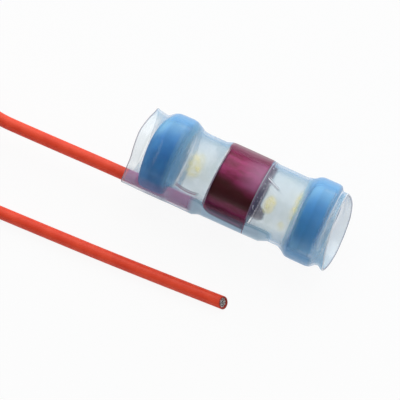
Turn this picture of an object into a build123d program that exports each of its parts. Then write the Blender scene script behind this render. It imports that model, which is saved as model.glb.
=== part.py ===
from build123d import *
import math
import os

os.makedirs("parts", exist_ok=True)

# Solder seal sleeve with a fitted lead, in millimetres.
# X runs along the sleeve, away from the end where the lead enters. Z is up.
# The origin is under the middle of the sleeve, on the surface that it lies on.

# Sealing rings, set back from the film's mouths
ring_radius = 3.38
ring_wall = 0.78
ring_edge_round = 0.60
ring_bore_round = 0.15
ring_face_flat = 0.03
lead_ring_setback = 1.105
lead_ring_length = 2.45
far_ring_setback = 0.93
far_ring_length = 2.56
groove_clearance = 0.03
groove_wall = 0.25

# Shrink film: each drop is how far it is drawn in from the sealing rings
sleeve_length = 17.9
film_wall = 0.20
film_gap = 0.02
lead_lip_drop = 0.33
lead_flange_drop = 0.46
lead_gap_drop = 0.55
far_gap_drop = 0.49
far_flange_drop = 0.41
far_lip_drop = 0.36
lip_length = 0.45
steep_shoulder = 45
gentle_shoulder = 28
film_blend = 0.30
foot_blend = 0.60

# Solder ring, pushed off the sleeve's axis by the strands beside it
solder_x = -0.07
solder_length = 3.64
solder_drop = 0.53
solder_wall = 0.50
solder_shift = 0.15
solder_edge = 0.08
step_run = 0.35

# Lead: insulation over 19 strands
strand_radius = 0.064
strand_gap = 0.035
conductor_clearance = 0.01
insulation_wall = 0.145
lead_proud = 0.025
lead_angle = 15.7
lead_straight_run = 0.95
insulation_setback = 1.04
strand_overhang = 1.35
strand_exposed = 1.50
strand_recess = 0.08
cut_angle = 32

# Fan of bare strands between the solder ring and the film
fan_start_gap = 0.05
fan_lead_in = 0.04
fan_gap = 0.04
fan_side_gap = 0.056
fan_layer_gap = 0.002
fan_bend = 1.0
bundle_turn = 15

# The film's tent over the lead and the strands
tent_base_drop = 0.60
tent_lead_clearance = 0.015
tent_lead_run = 0.18
tent_fan_radius = 1.75
tent_fan_clearance = 0.202
tent_fan_lead_in = 0.31
tent_fan_overrun = 0.02
tent_tip_rise = 0.05
tent_tip_run = 0.55

# Stored coil of the lead and the tie that holds it
coil_x = -30.4
coil_y = -6.25
coil_radius = 6.25
coil_layer_gap = 0.02
coil_layer_drop = 60
tie_wall = 0.20
tie_gap = 0.02
tie_side_gap = 0.12
tie_width = 1.80
tie_corner = 0.08
tie_tail_length = 3.20
tie_tail_radius = 0.35
tie_tail_sunk = 0.10

# Lead and solder ring, as their strands and the sealing rings make them
strand_pitch = 2 * strand_radius + strand_gap
conductor_radius = 2 * strand_pitch + strand_radius + conductor_clearance
lead_radius = conductor_radius + insulation_wall
lead_offset = ring_radius + lead_proud - lead_radius
solder_radius = ring_radius - solder_drop
solder_bore_radius = solder_radius - solder_wall
fan_pitch = strand_radius + fan_side_gap / 2
fan_layer_height = 2 * strand_radius + fan_layer_gap

# Sealing rings and the film over them
ring_bore_radius = ring_radius - ring_wall
ring_round = min(ring_edge_round, ring_wall - ring_bore_round - ring_face_flat)
tent_base_radius = ring_radius - tent_base_drop
fan_top = solder_radius - solder_shift + fan_gap + 2 * strand_radius + fan_layer_height
tent_fan_centre = fan_top + tent_fan_clearance - tent_fan_radius
tent_tip_centre = tent_base_radius + tent_tip_rise - tent_fan_radius

# Places along the sleeve
lead_mouth_x = -sleeve_length / 2
far_mouth_x = sleeve_length / 2
lead_ring_start = lead_mouth_x + lead_ring_setback
lead_ring_stop = lead_ring_start + lead_ring_length
far_ring_stop = far_mouth_x - far_ring_setback
far_ring_start = far_ring_stop - far_ring_length
solder_start = solder_x - solder_length / 2
solder_stop = solder_x + solder_length / 2
insulation_end_x = solder_start - insulation_setback
strands_end_x = solder_stop + strand_overhang

# Heights and directions
axis_height = ring_radius + film_gap + film_wall
lead_side = Vector(0, -math.cos(math.radians(lead_angle)), -math.sin(math.radians(lead_angle)))
lead_y = lead_side.Y * lead_offset
lead_z = axis_height + lead_side.Z * lead_offset
axis_of_sleeve = Axis((0, 0, axis_height), (1, 0, 0))
lengthwise = Plane(origin=(0, 0, axis_height), x_dir=(1, 0, 0), z_dir=(0, -1, 0))


def station(x):
    """Plane across the sleeve at x. Its own X axis points to the lead."""
    return Plane(origin=(x, 0, axis_height), x_dir=lead_side, z_dir=(1, 0, 0))


# Sealing rings
with BuildPart() as sealing_ring_lead_side:
    with BuildSketch(lengthwise):
        with Locations((lead_ring_start, ring_bore_radius)):
            Rectangle(lead_ring_length, ring_wall, align=(Align.MIN, Align.MIN))
    revolve(axis=axis_of_sleeve)
    ring_edges = sealing_ring_lead_side.edges().filter_by(GeomType.CIRCLE).sort_by(SortBy.RADIUS)
    fillet(ring_edges[-2:], radius=ring_round)
    fillet(ring_edges[:2], radius=ring_bore_round)
    # The soft ring bulges inwards where the lead presses a groove into it
    with BuildSketch(station(lead_ring_start + ring_round)):
        with Locations((lead_offset, 0)):
            Circle(lead_radius + groove_clearance + groove_wall)
        Circle((ring_radius + ring_bore_radius) / 2, mode=Mode.INTERSECT)
    extrude(amount=lead_ring_length - 2 * ring_round)
    with BuildSketch(station(lead_mouth_x)):
        with Locations((lead_offset, 0)):
            Circle(lead_radius + groove_clearance)
        with Locations((lead_offset + lead_radius, 0)):
            Rectangle(2 * lead_radius, 2 * (lead_radius + groove_clearance))
    extrude(amount=lead_ring_stop - lead_mouth_x, mode=Mode.SUBTRACT)
sealing_ring_lead_side.part.label = "sealing_ring_lead_side"
export_step(sealing_ring_lead_side.part, "parts/sealing_ring_lead_side.step")

with BuildPart() as sealing_ring_far_side:
    with BuildSketch(lengthwise):
        with Locations((far_ring_start, ring_bore_radius)):
            Rectangle(far_ring_length, ring_wall, align=(Align.MIN, Align.MIN))
    revolve(axis=axis_of_sleeve)
    ring_edges = sealing_ring_far_side.edges().filter_by(GeomType.CIRCLE).sort_by(SortBy.RADIUS)
    fillet(ring_edges[-2:], radius=ring_round)
    fillet(ring_edges[:2], radius=ring_bore_round)
sealing_ring_far_side.part.label = "sealing_ring_far_side"
export_step(sealing_ring_far_side.part, "parts/sealing_ring_far_side.step")

# Solder ring
with BuildPart() as solder_ring:
    with BuildSketch(station(solder_start)):
        with Locations((-solder_shift, 0)):
            Circle(solder_radius)
            Circle(solder_bore_radius, mode=Mode.SUBTRACT)
    extrude(amount=solder_length)
    rim_edges = solder_ring.edges().filter_by(GeomType.CIRCLE).sort_by(SortBy.RADIUS)
    fillet(rim_edges[-2:], radius=solder_edge)
solder_ring.part.label = "solder_ring"
export_step(solder_ring.part, "parts/solder_ring.step")


# Shrink film
def shoulder(ring_face_x, outward, foot_radius, slope):
    """The x of the foot and of the crest of a slope that rests on a ring's rounded edge."""
    lean = math.radians(slope)
    corner_x = ring_face_x - outward * ring_round
    reach = ring_round + film_gap
    rise = foot_radius - (ring_radius - ring_round)
    foot_x = corner_x + outward * (reach - rise * math.cos(lean)) / math.sin(lean)
    crest_x = corner_x + outward * reach * math.tan(lean / 2)
    return foot_x, crest_x


def film_profile(growth):
    """Half section of the film's inside, or of its outside when it is grown by the wall."""
    crest_radius = ring_radius + film_gap
    over_solder = solder_radius + solder_shift + film_gap
    lead_flange_radius = ring_radius - lead_flange_drop
    lead_gap_radius = ring_radius - lead_gap_drop
    far_gap_radius = ring_radius - far_gap_drop
    far_flange_radius = ring_radius - far_flange_drop
    foot_1, crest_1 = shoulder(lead_ring_start, -1, lead_flange_radius, steep_shoulder)
    foot_2, crest_2 = shoulder(lead_ring_stop, 1, lead_gap_radius, gentle_shoulder)
    foot_3, crest_3 = shoulder(far_ring_start, -1, far_gap_radius, steep_shoulder)
    foot_4, crest_4 = shoulder(far_ring_stop, 1, far_flange_radius, steep_shoulder)
    corners = [
        (lead_mouth_x, ring_radius - lead_lip_drop),
        (lead_mouth_x + lip_length, lead_flange_radius),
        (foot_1, lead_flange_radius),
        (crest_1, crest_radius),
        (crest_2, crest_radius),
        (foot_2, lead_gap_radius),
        (solder_start - step_run, lead_gap_radius),
        (solder_start, over_solder),
        (solder_stop, over_solder),
        (solder_stop + step_run, far_gap_radius),
        (foot_3, far_gap_radius),
        (crest_3, crest_radius),
        (crest_4, crest_radius),
        (foot_4, far_flange_radius),
        (far_mouth_x - lip_length, far_flange_radius),
        (far_mouth_x, ring_radius - far_lip_drop),
    ]
    return [(x, radius + growth) for x, radius in corners]


def film_blends(growth):
    """A radius for each corner of the half section. The crests hug the rings' rounded edges."""
    crest = ring_round + film_gap + growth
    hump = [foot_blend, crest, crest, foot_blend]
    return [film_blend, *hump, *[film_blend] * 4, *hump, film_blend]


def tent_outline(x, centre, radius, growth):
    """Two circles and the straight walls that touch both, across the sleeve at x."""
    wide = tent_base_radius + growth
    narrow = radius + growth
    turn = math.acos((wide - narrow) / centre)
    side = Vector(math.cos(turn), math.sin(turn))
    mirrored = Vector(side.X, -side.Y)
    degrees = math.degrees(turn)
    with BuildSketch(station(x)) as outline:
        with BuildLine():
            CenterArc((0, 0), wide, degrees, 360 - 2 * degrees)
            Line(mirrored * wide, Vector(centre, 0) + mirrored * narrow)
            CenterArc((centre, 0), narrow, -degrees, 2 * degrees)
            Line(Vector(centre, 0) + side * narrow, side * wide)
        make_face()
    return outline.sketch


def tent_outlines(growth):
    """The tent from the lead's mouth to the tip of the strands."""
    lead_circle = lead_radius + tent_lead_clearance
    return [
        tent_outline(lead_mouth_x, lead_offset, lead_circle, growth),
        tent_outline(insulation_end_x + tent_lead_run, lead_offset, lead_circle, growth),
        tent_outline(solder_start - tent_fan_lead_in, tent_fan_centre, tent_fan_radius, growth),
        tent_outline(strands_end_x + tent_fan_overrun, tent_fan_centre, tent_fan_radius, growth),
        tent_outline(strands_end_x + tent_tip_run, tent_tip_centre, tent_fan_radius, growth),
    ]


with BuildPart() as heat_shrink_sleeve:
    for growth, mode in ((film_wall, Mode.ADD), (0, Mode.SUBTRACT)):
        profile = film_profile(growth)
        with BuildSketch(lengthwise):
            with BuildLine():
                FilletPolyline(*profile, radius=film_blends(growth))
                Polyline(profile[-1], (far_mouth_x, 0), (lead_mouth_x, 0), profile[0])
            make_face()
        if mode == Mode.ADD:
            revolve(axis=axis_of_sleeve)
            loft(tent_outlines(growth), ruled=True)
        else:
            revolve(axis=axis_of_sleeve, mode=Mode.SUBTRACT)
            loft(tent_outlines(growth), ruled=True, mode=Mode.SUBTRACT)
heat_shrink_sleeve.part.label = "heat_shrink_sleeve"
export_step(heat_shrink_sleeve.part, "parts/heat_shrink_sleeve.step")


# Lead
def coil_height(layer):
    """Height of the lead's centre in a layer of the coil, counted from 0."""
    pitch = 2 * lead_radius + coil_layer_gap
    return tie_wall + tie_gap + (layer + 0.5) * pitch


def corner_radii(points):
    """The largest tangent arcs that leave a tenth of the shorter run straight."""
    radii = []
    for before, corner, after in zip(points, points[1:], points[2:]):
        incoming = Vector(corner) - Vector(before)
        outgoing = Vector(after) - Vector(corner)
        turn = math.radians(incoming.get_angle(outgoing))
        shorter = min(incoming.length, outgoing.length)
        radii.append(0.45 * shorter / math.tan(turn / 2))
    return radii


out_route = [
    (insulation_end_x, lead_y, lead_z),
    (lead_mouth_x - lead_straight_run, lead_y, lead_z),
    (-17.0, -2.85, 2.66),
    (-22.6, -2.93, 2.74),
    (-26.6, coil_y + coil_radius, coil_height(2)),
    (coil_x, coil_y + coil_radius, coil_height(2)),
]
return_route = [
    (coil_x, coil_y - coil_radius, coil_height(0)),
    (-26.5, coil_y - coil_radius, coil_height(0)),
    (-22.3, -9.84, 0.57),
    (-14.2, -9.53, lead_radius),
    (-5.6, -9.17, lead_radius),
    (2.65, -8.65, lead_radius),
]

with BuildPart() as lead_out:
    with BuildLine() as out_path:
        FilletPolyline(*out_route, radius=corner_radii(out_route))
    with BuildSketch(Plane(origin=out_path.line @ 0, z_dir=out_path.line % 0)):
        Circle(lead_radius)
    sweep(path=out_path.line)
lead_out.part.label = "lead_out"
export_step(lead_out.part, "parts/lead_out.step")

cut_point = Vector(*return_route[-1])
end_direction = (cut_point - Vector(*return_route[-2])).normalized()
sideways = Vector(0, 0, 1).cross(end_direction)
cut_normal = end_direction.rotate(Axis((0, 0, 0), sideways), -cut_angle)
cut_plane = Plane(origin=cut_point, x_dir=sideways, z_dir=cut_normal)
recess_plane = cut_plane.offset(-strand_recess)
bore_plane = Plane(
    origin=cut_point - end_direction * strand_exposed, x_dir=sideways, z_dir=end_direction
)

with BuildPart() as lead_return:
    with BuildLine() as return_path:
        FilletPolyline(*return_route, radius=corner_radii(return_route))
    with BuildSketch(Plane(origin=return_path.line @ 0, z_dir=return_path.line % 0)):
        Circle(lead_radius)
    sweep(path=return_path.line)
    with BuildSketch(Plane(origin=cut_point, x_dir=sideways, z_dir=end_direction)):
        Circle(lead_radius)
    extrude(amount=lead_radius)
    with BuildSketch(bore_plane):
        Circle(conductor_radius)
    extrude(amount=2 * strand_exposed, mode=Mode.SUBTRACT)
    split(bisect_by=cut_plane, keep=Keep.BOTTOM)
lead_return.part.label = "lead_return"
export_step(lead_return.part, "parts/lead_return.step")

# Strands at the free end: one in the middle, then rings of 6 and 12
with BuildPart() as strands_free_end:
    with BuildSketch(bore_plane):
        Circle(strand_radius)
        with PolarLocations(strand_pitch, 6):
            Circle(strand_radius)
        with PolarLocations(2 * strand_pitch, 12):
            Circle(strand_radius)
    extrude(amount=2 * strand_exposed)
    split(bisect_by=recess_plane, keep=Keep.BOTTOM)
strands_free_end.part.label = "strands_free_end"
export_step(strands_free_end.part, "parts/strands_free_end.step")


# Strands in the sleeve: a round bundle that spreads to a fan of two layers
def bundle_places():
    """Places of the strands across the bundle: away from the sleeve's axis, then sideways."""
    places = [(0.0, 0.0)]
    for ring, count in ((1, 6), (2, 12)):
        for number in range(count):
            turn = math.radians(bundle_turn) + 2 * math.pi * number / count
            places.append((ring * strand_pitch * math.cos(turn), ring * strand_pitch * math.sin(turn)))
    return places


def fan_place(number, count):
    """Place of a strand in the fan, on an arc about the solder ring's own axis."""
    layer = number % 2
    radius = solder_radius + fan_gap + strand_radius + layer * fan_layer_height
    turn = (number - (count - 1) / 2) * fan_pitch / solder_radius
    return radius * math.cos(turn) - solder_shift, radius * math.sin(turn)


def fan_moves():
    """Each strand's place in the bundle and in the fan. The farther half takes the outer layer."""
    places = sorted(bundle_places(), reverse=True)
    outer_count = len(places) // 2
    outer = sorted(places[:outer_count], key=lambda place: place[1])
    inner = sorted(places[outer_count:], key=lambda place: place[1])
    moves = [(place, fan_place(2 * number, len(places))) for number, place in enumerate(inner)]
    moves += [(place, fan_place(2 * number + 1, len(places))) for number, place in enumerate(outer)]
    return moves


with BuildPart() as strands_in_sleeve:
    for (bundle_out, bundle_across), (fan_out, fan_across) in fan_moves():
        bundle_end = station(insulation_end_x + fan_start_gap)
        fan_begin = station(solder_start - fan_lead_in)
        fan_tip = station(strands_end_x)
        with BuildLine() as strand_path:
            FilletPolyline(
                bundle_end.from_local_coords((lead_offset + bundle_out, bundle_across, 0)),
                fan_begin.from_local_coords((fan_out, fan_across, 0)),
                fan_tip.from_local_coords((fan_out, fan_across, 0)),
                radius=fan_bend,
            )
        with BuildSketch(Plane(origin=strand_path.line @ 0, z_dir=strand_path.line % 0)):
            Circle(strand_radius)
        sweep(path=strand_path.line)
strands_in_sleeve.part.label = "strands_in_sleeve"
export_step(strands_in_sleeve.part, "parts/strands_in_sleeve.step")

# Stored coil: the first half turn on top, then two whole turns below it.
# The bottom turn starts after the lead has come down to it from the turn above.
coil_axis = Axis((coil_x, coil_y, 0), (0, 0, 1))
coil_layers = [
    (0, 270 + coil_layer_drop, 360 - coil_layer_drop),
    (1, 0, 360),
    (2, 90, 180),
]
with BuildPart() as lead_coil:
    for layer, start_angle, arc in coil_layers:
        toward = Vector(1, 0, 0).rotate(Axis.Z, start_angle)
        facing = toward.cross(Vector(0, 0, 1))
        with BuildSketch(Plane(origin=(coil_x, coil_y, coil_height(layer)), x_dir=toward, z_dir=facing)):
            with Locations((coil_radius, 0)):
                Rectangle(2 * lead_radius, 2 * lead_radius + coil_layer_gap)
        revolve(axis=coil_axis, revolution_arc=arc)
lead_coil.part.label = "lead_coil"
export_step(lead_coil.part, "parts/lead_coil.step")

# Twist tie round the coil, on its side away from the sleeve
tie_inner_width = 2 * (lead_radius + tie_side_gap)
tie_inner_height = len(coil_layers) * (2 * lead_radius + coil_layer_gap) + 2 * tie_gap
tie_outer_width = tie_inner_width + 2 * tie_wall
tie_outer_height = tie_inner_height + 2 * tie_wall
tie_plane = Plane(
    origin=(coil_x - coil_radius, coil_y - tie_width / 2, tie_outer_height / 2),
    x_dir=(-1, 0, 0),
    z_dir=(0, 1, 0),
)
with BuildPart() as coil_tie:
    with BuildSketch(tie_plane):
        RectangleRounded(tie_outer_width, tie_outer_height, tie_corner + tie_wall)
        RectangleRounded(tie_inner_width, tie_inner_height, tie_corner, mode=Mode.SUBTRACT)
    extrude(amount=tie_width)
    tail_start = (coil_x - coil_radius, coil_y, tie_outer_height + tie_tail_radius - tie_tail_sunk)
    with BuildSketch(Plane(origin=tail_start, x_dir=(0, 1, 0), z_dir=(-1, 0, 0))):
        Circle(tie_tail_radius)
    extrude(amount=tie_tail_length)
coil_tie.part.label = "coil_tie"
export_step(coil_tie.part, "parts/coil_tie.step")

for route_name, route, tube, path in (
    ("lead_out", out_route, lead_out, out_path),
    ("lead_return", return_route, lead_return, return_path),
):
    radii = [round(radius, 2) for radius in corner_radii(route)]
    length = path.wire().length
    print(route_name, "arc radii", radii, "least", round(min(radii) / (2 * lead_radius), 1), "diameters")
    print(route_name, "length", round(length, 2), "volume", round(tube.part.volume, 2))
    print(route_name, "section times length", round(math.pi * lead_radius**2 * length, 2))
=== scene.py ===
"""Looks of a solder seal wire connector: a clear shrink film over two blue sealing rings and a
coated solder ring, with a fitted lead whose spare length lies coiled beside it.

Sizes are millimetres until a mesh is made, in the frame of the part: X along the sleeve, Z up.
Turns round the sleeve count from the lead's side: -90 degrees is up and 90 degrees is down."""

import math

import bmesh
import bpy
import numpy as np
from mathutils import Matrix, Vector


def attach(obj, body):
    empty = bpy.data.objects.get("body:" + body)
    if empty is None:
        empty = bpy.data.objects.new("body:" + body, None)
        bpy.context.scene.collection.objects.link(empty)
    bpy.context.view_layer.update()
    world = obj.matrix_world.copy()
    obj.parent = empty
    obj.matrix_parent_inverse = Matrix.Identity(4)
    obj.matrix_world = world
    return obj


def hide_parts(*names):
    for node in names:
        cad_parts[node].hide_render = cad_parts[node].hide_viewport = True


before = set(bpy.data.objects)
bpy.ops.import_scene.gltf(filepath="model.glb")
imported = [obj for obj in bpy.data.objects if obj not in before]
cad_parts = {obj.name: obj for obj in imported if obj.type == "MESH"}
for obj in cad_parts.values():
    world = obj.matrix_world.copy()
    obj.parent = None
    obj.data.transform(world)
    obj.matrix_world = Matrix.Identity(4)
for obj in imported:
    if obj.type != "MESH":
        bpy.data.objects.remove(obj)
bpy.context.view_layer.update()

MM = 0.001

# The sleeve
AXIS_HEIGHT = 3.60
LEAD_ANGLE = math.radians(15.7)
MOUTH_X = 8.95
FILM_WALL = 0.20
LEAD_RING = (-7.845, -5.395)
FAR_RING = (5.46, 8.02)
SOLDER_RING = (-1.89, 1.75)
RING_BORE = 2.60
SOLDER_RADIUS = 2.85
SOLDER_WALL = 0.5

# The lead
LEAD_RADIUS = 0.545
BORE_RADIUS = 0.40
STRAND_RADIUS = 0.064
STRAND_PITCH = 0.163
STRAND_LENGTH = 1.5
STRAND_RECESS = 0.08
CUT_ANGLE = math.radians(32)
LEAD_OFFSET = 2.86
INSULATION_END_X = -2.93

# The coil of the lead and its tie
COIL_X, COIL_Y = -30.4, -6.25
COIL_RADIUS = 6.25
COIL_PITCH = 1.11
COIL_FLOOR = 0.22
POINTS_A_TURN = 16
TIE_X = COIL_X - COIL_RADIUS
TIE_BOTTOM = COIL_FLOOR - 0.02
TIE_WALL = 0.14
TIE_HALF_WIDTH = 0.665
TIE_HEIGHT = 3.38
TIE_CORNER = 0.30

# Directions across the sleeve: towards the lead, and a quarter turn on from it, which is down
TO_LEAD = Vector((0, -math.cos(LEAD_ANGLE), -math.sin(LEAD_ANGLE)))
DOWNWARD = Vector((1, 0, 0)).cross(TO_LEAD)


# Shaders as expressions
class Value:
    """A socket that Python's arithmetic can be written with."""

    def __init__(self, shader, socket):
        self.shader = shader
        self.socket = socket

    def math(self, operation, *others, clamp=False):
        settings = {"operation": operation, "use_clamp": clamp}
        values = dict(enumerate((self, *others)))
        return self.shader.node("ShaderNodeMath", settings, values)

    def __add__(self, other):
        return self.math("ADD", other)

    __radd__ = __add__

    def __sub__(self, other):
        return self.math("SUBTRACT", other)

    def __rsub__(self, other):
        return self.shader.node("ShaderNodeMath", {"operation": "SUBTRACT"}, {0: other, 1: self})

    def __mul__(self, other):
        return self.math("MULTIPLY", other)

    __rmul__ = __mul__

    def __truediv__(self, other):
        return self.math("DIVIDE", other)

    def __pow__(self, other):
        return self.math("POWER", other)

    def clamp(self):
        return self.math("ADD", 0.0, clamp=True)

    def rise(self, start, stop):
        """0 before start and 1 after stop, smooth in between. Start may be the larger."""
        return self.shader.node(
            "ShaderNodeMapRange",
            {"interpolation_type": "SMOOTHSTEP"},
            {"Value": self, "From Min": start, "From Max": stop},
        )

    def band(self, start, stop, soft):
        """1 between start and stop, and 0 more than soft outside them."""
        return self.rise(start - soft, start) * self.rise(stop + soft, stop)


class Nodes:
    """A node tree whose nodes are made one by one."""

    def __init__(self, tree):
        self.tree = tree
        self.tree.nodes.clear()

    def node(self, kind, settings=None, values=None, output=0):
        """One output of a new node, whose sockets get numbers, colours or links."""
        made = self.tree.nodes.new(kind)
        for name, setting in (settings or {}).items():
            setattr(made, name, setting)
        for key, value in (values or {}).items():
            self.feed(made.inputs[key], value)
        return Value(self, made.outputs[output])

    def feed(self, socket, value):
        if isinstance(value, Value):
            self.tree.links.new(value.socket, socket)
        else:
            socket.default_value = value


class Shader(Nodes):
    """The nodes of a material or of the world."""

    def __init__(self, owner):
        owner.use_nodes = True
        super().__init__(owner.node_tree)
        self.owner = owner

    def place(self):
        """The point on the piece in millimetres, as a vector and as its three numbers."""
        metres = self.node("ShaderNodeTexCoord", output="Object")
        point = self.node("ShaderNodeVectorMath", {"operation": "SCALE"}, {0: metres, "Scale": 1 / MM})
        numbers = [self.node("ShaderNodeSeparateXYZ", None, {0: point}, axis) for axis in "XYZ"]
        return point, *numbers

    def around(self, y, z):
        """The turn round the sleeve's axis from the lead's side, in degrees, and the distance from it."""
        ahead = y * TO_LEAD.y + (z - AXIS_HEIGHT) * TO_LEAD.z
        down = y * DOWNWARD.y + (z - AXIS_HEIGHT) * DOWNWARD.z
        turn = down.math("ARCTAN2", ahead) * (180 / math.pi)
        return turn, (ahead * ahead + down * down).math("SQRT")

    def facing(self):
        """0 where the surface is seen square on and 1 where it is seen along itself."""
        return self.node("ShaderNodeLayerWeight", None, {"Blend": 0.5}, "Facing")

    def attribute(self, name):
        return self.node("ShaderNodeAttribute", {"attribute_name": name}, output="Fac")

    def dot(self, first, second):
        values = {0: first, 1: second}
        return self.node("ShaderNodeVectorMath", {"operation": "DOT_PRODUCT"}, values, "Value")

    def noise(self, point, scale, detail=2.0, stretch=None):
        if stretch:
            point = self.node("ShaderNodeVectorMath", {"operation": "MULTIPLY"}, {0: point, 1: stretch})
        return self.node("ShaderNodeTexNoise", None, {"Vector": point, "Scale": scale, "Detail": detail})

    def mix(self, share, first, second):
        """A colour from first to second. Both are links or colours."""
        made = self.tree.nodes.new("ShaderNodeMix")
        made.data_type = "RGBA"
        for key, value in (("Factor_Float", share), ("A_Color", first), ("B_Color", second)):
            self.feed(next(s for s in made.inputs if s.identifier == key), value)
        return Value(self, next(s for s in made.outputs if s.identifier == "Result_Color"))

    def bump(self, height, strength, distance):
        values = {"Height": height, "Strength": strength, "Distance": distance * MM}
        return self.node("ShaderNodeBump", None, values)

    def glossy_body(self, **values):
        """A Principled shader. Its sockets are written with _ for a space."""
        named = {name.replace("_", " "): value for name, value in values.items()}
        return self.node("ShaderNodeBsdfPrincipled", None, named, "BSDF")

    def see_through(self, share, body):
        """The body over a share of the surface, and nothing on the rest."""
        opening = self.node("ShaderNodeBsdfTransparent", None, {"Color": grey(1.0)})
        return self.node("ShaderNodeMixShader", None, {0: share, 1: opening, 2: body})

    def finish(self, surface, kind="ShaderNodeOutputMaterial"):
        output = self.tree.nodes.new(kind)
        self.tree.links.new(surface.socket, output.inputs["Surface"])
        return self.owner


def grey(level):
    return (level, level, level, 1.0)


# Two lines that the film's shape and its colour both follow, as turns in degrees. They take arrays
# and sockets.
def crease_line(x):
    """The crease beside the lead's tent."""
    return -47 - 3.7 * (x + 3.45) ** 2


def fold_line(x):
    """The fold past the solder ring."""
    return -122 + 8.3 * (x - 1.95)


class FilmLook(Shader):
    """The film's colour and its cover, built up feature by feature.

    The cover is the share of the surface that the film takes up. The rest shows what lies behind.
    Places along the sleeve are in millimetres and places round it in degrees."""

    def __init__(self, owner):
        super().__init__(owner)
        self.point, self.x, y, z = self.place()
        self.turn, self.radius = self.around(y, z)
        self.slant = self.facing()
        self.rim_light = self.slant.rise(0.50, 0.68) * self.turn.rise(-18, -6)
        self.find_tents()
        self.find_rings()

    def find_tents(self):
        """Where the film is drawn over the lead and over its strands, and the strands' upper foot."""
        x, turn = self.x, self.turn
        seen_aslant = self.slant.rise(0.02, 0.35)
        self.over_lead = turn.band(-40, 40, 7) * x.rise(-2.7, -3.2)
        self.over_strands = turn.band(-30, 30, 10) * x.band(-2.7, 3.5, 0.6) * seen_aslant
        bend = (x + 1.0).math("MINIMUM", 0.0)
        self.past_foot = turn + 27 - 1.2 * x + 12 * bend**2

    def find_rings(self):
        """Where the film lies on a ring, and where ring material has melted out from under it."""
        x = self.x
        lead_start, lead_end = LEAD_RING
        far_start, far_end = FAR_RING
        self.lead_ring = x.band(lead_start + 0.05, lead_end - 0.10, 0.40)
        far_ring = x.band(far_start + 0.10, far_end - 0.50, 0.40)
        self.solder = x.band(*SOLDER_RING, 0.06)
        self.on_ring = self.lead_ring + far_ring + self.solder
        self.flank = x.band(lead_start - 0.25, lead_start + 0.45, 0.35)
        self.melt = x.band(lead_end - 0.10, lead_end + 0.35, 0.35) * (1 - self.over_lead)
        self.far_melt = x.band(far_start - 0.25, far_start + 0.10, 0.22)

    def tint(self, amount, colour):
        """Moves the colour towards another one."""
        self.colour = self.mix(amount, self.colour, colour)

    def clear_film(self):
        """Pale film, denser and bluer where it is seen along itself and at both mouths."""
        aqua, cream = (0.24, 0.58, 0.76, 1), (0.46, 0.68, 0.68, 1)
        deep_blue, mouth_blue = (0.13, 0.44, 0.78, 1), (0.24, 0.59, 0.85, 1)
        x, turn = self.x, self.turn
        cloud = self.noise(self.point, 0.55, 3.0).rise(0.35, 0.7)
        edge_on = self.slant**2
        mouth = x.rise(-8.0, -8.3)
        far_mouth_band = (x - 0.002 * (turn + 180)).rise(7.65, 7.85)
        corner = x.rise(7.9, 8.4) * turn.band(-58, 0, 16)
        self.cover = (0.14 + 0.06 * cloud) * (1 - self.on_ring) * (1 - 0.4 * mouth)
        self.cover += 0.42 * edge_on * (1 - 0.75 * self.flank)
        self.cover += 0.16 * corner + 0.06 * far_mouth_band
        self.colour = self.mix(cloud, aqua, cream)
        self.tint((1.7 * edge_on + 0.7 * corner).clamp(), deep_blue)
        self.tint(0.6 * (mouth + far_mouth_band), mouth_blue)

    def melted_rings(self):
        """Blue that has run out of both sealing rings along the film."""
        self.cover += 0.24 * self.melt + 0.30 * self.far_melt
        self.tint(0.8 * self.melt + 0.7 * self.far_melt, (0.17, 0.44, 0.70, 1))

    def tent_over_lead(self):
        """Lilac over the lead with a light rim, and a painted indigo shade where the lead dents the ring."""
        lilac, rim_blue = (0.46, 0.38, 0.66, 1), (0.42, 0.60, 0.76, 1)
        indigo = (0.08, 0.16, 0.42, 1)
        # Painted shade: indigo on the film over the lead ring beside the lead.
        lead_dent_shade = self.lead_ring * self.turn.band(-28, 28, 20)
        self.tint(0.8 * self.over_lead, self.mix(self.rim_light, lilac, rim_blue))
        self.tint(0.5 * lead_dent_shade, indigo)
        self.cover += (0.10 + 0.22 * self.rim_light) * self.over_lead

    def tent_over_strands(self):
        """Light blue over the strands, and a painted dark shadow with light rims where they cross the
        solder.
        """
        plum, sky, light_blue = (0.060, 0.030, 0.100, 1), (0.40, 0.62, 0.82, 1), (0.46, 0.68, 0.85, 1)
        upper_rim = self.past_foot.rise(3, 8) * self.turn.rise(0, -10)
        rims = (self.rim_light * self.turn.rise(14, 2) + upper_rim).clamp()
        # Over the solder the dark plum is a painted shadow where the strands pass the ring; the rims and the
        # tent past its foot are lighter.
        shadow_over_solder = self.mix(rims, plum, sky)
        self.tint(0.9 * self.over_strands, self.mix(self.solder, light_blue, shadow_over_solder))
        self.cover += (0.62 + 0.35 * self.solder * rims) * self.over_strands

    def spilled_lacquer(self):
        """Lacquer that has run out past the solder ring, with a few pale bubbles."""
        purple, bubble_grey = (0.075, 0.055, 0.125, 1), (0.62, 0.62, 0.72, 1)
        x, turn = self.x, self.turn
        ragged = self.noise(self.point, 1.1, 3.0) - 0.5
        bubbles = self.noise(self.point, 5.5, 1.0).rise(0.66, 0.72)
        reach = 2.46 + 0.50 * turn.band(-70, -58, 8) + 0.35 * ragged
        spill = (x - reach).rise(0.16, -0.16) * x.rise(1.68, 1.78) * turn.band(-146, -57, 8)
        self.cover += 0.42 * spill
        self.tint(0.95 * spill, self.mix(bubbles, purple, bubble_grey))

    def dried_flux(self):
        """Faint yellow patches of flux on the inside of the film."""
        speckle = self.noise(self.point, 2.2, 4.0).rise(0.30, 0.72)
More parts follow.
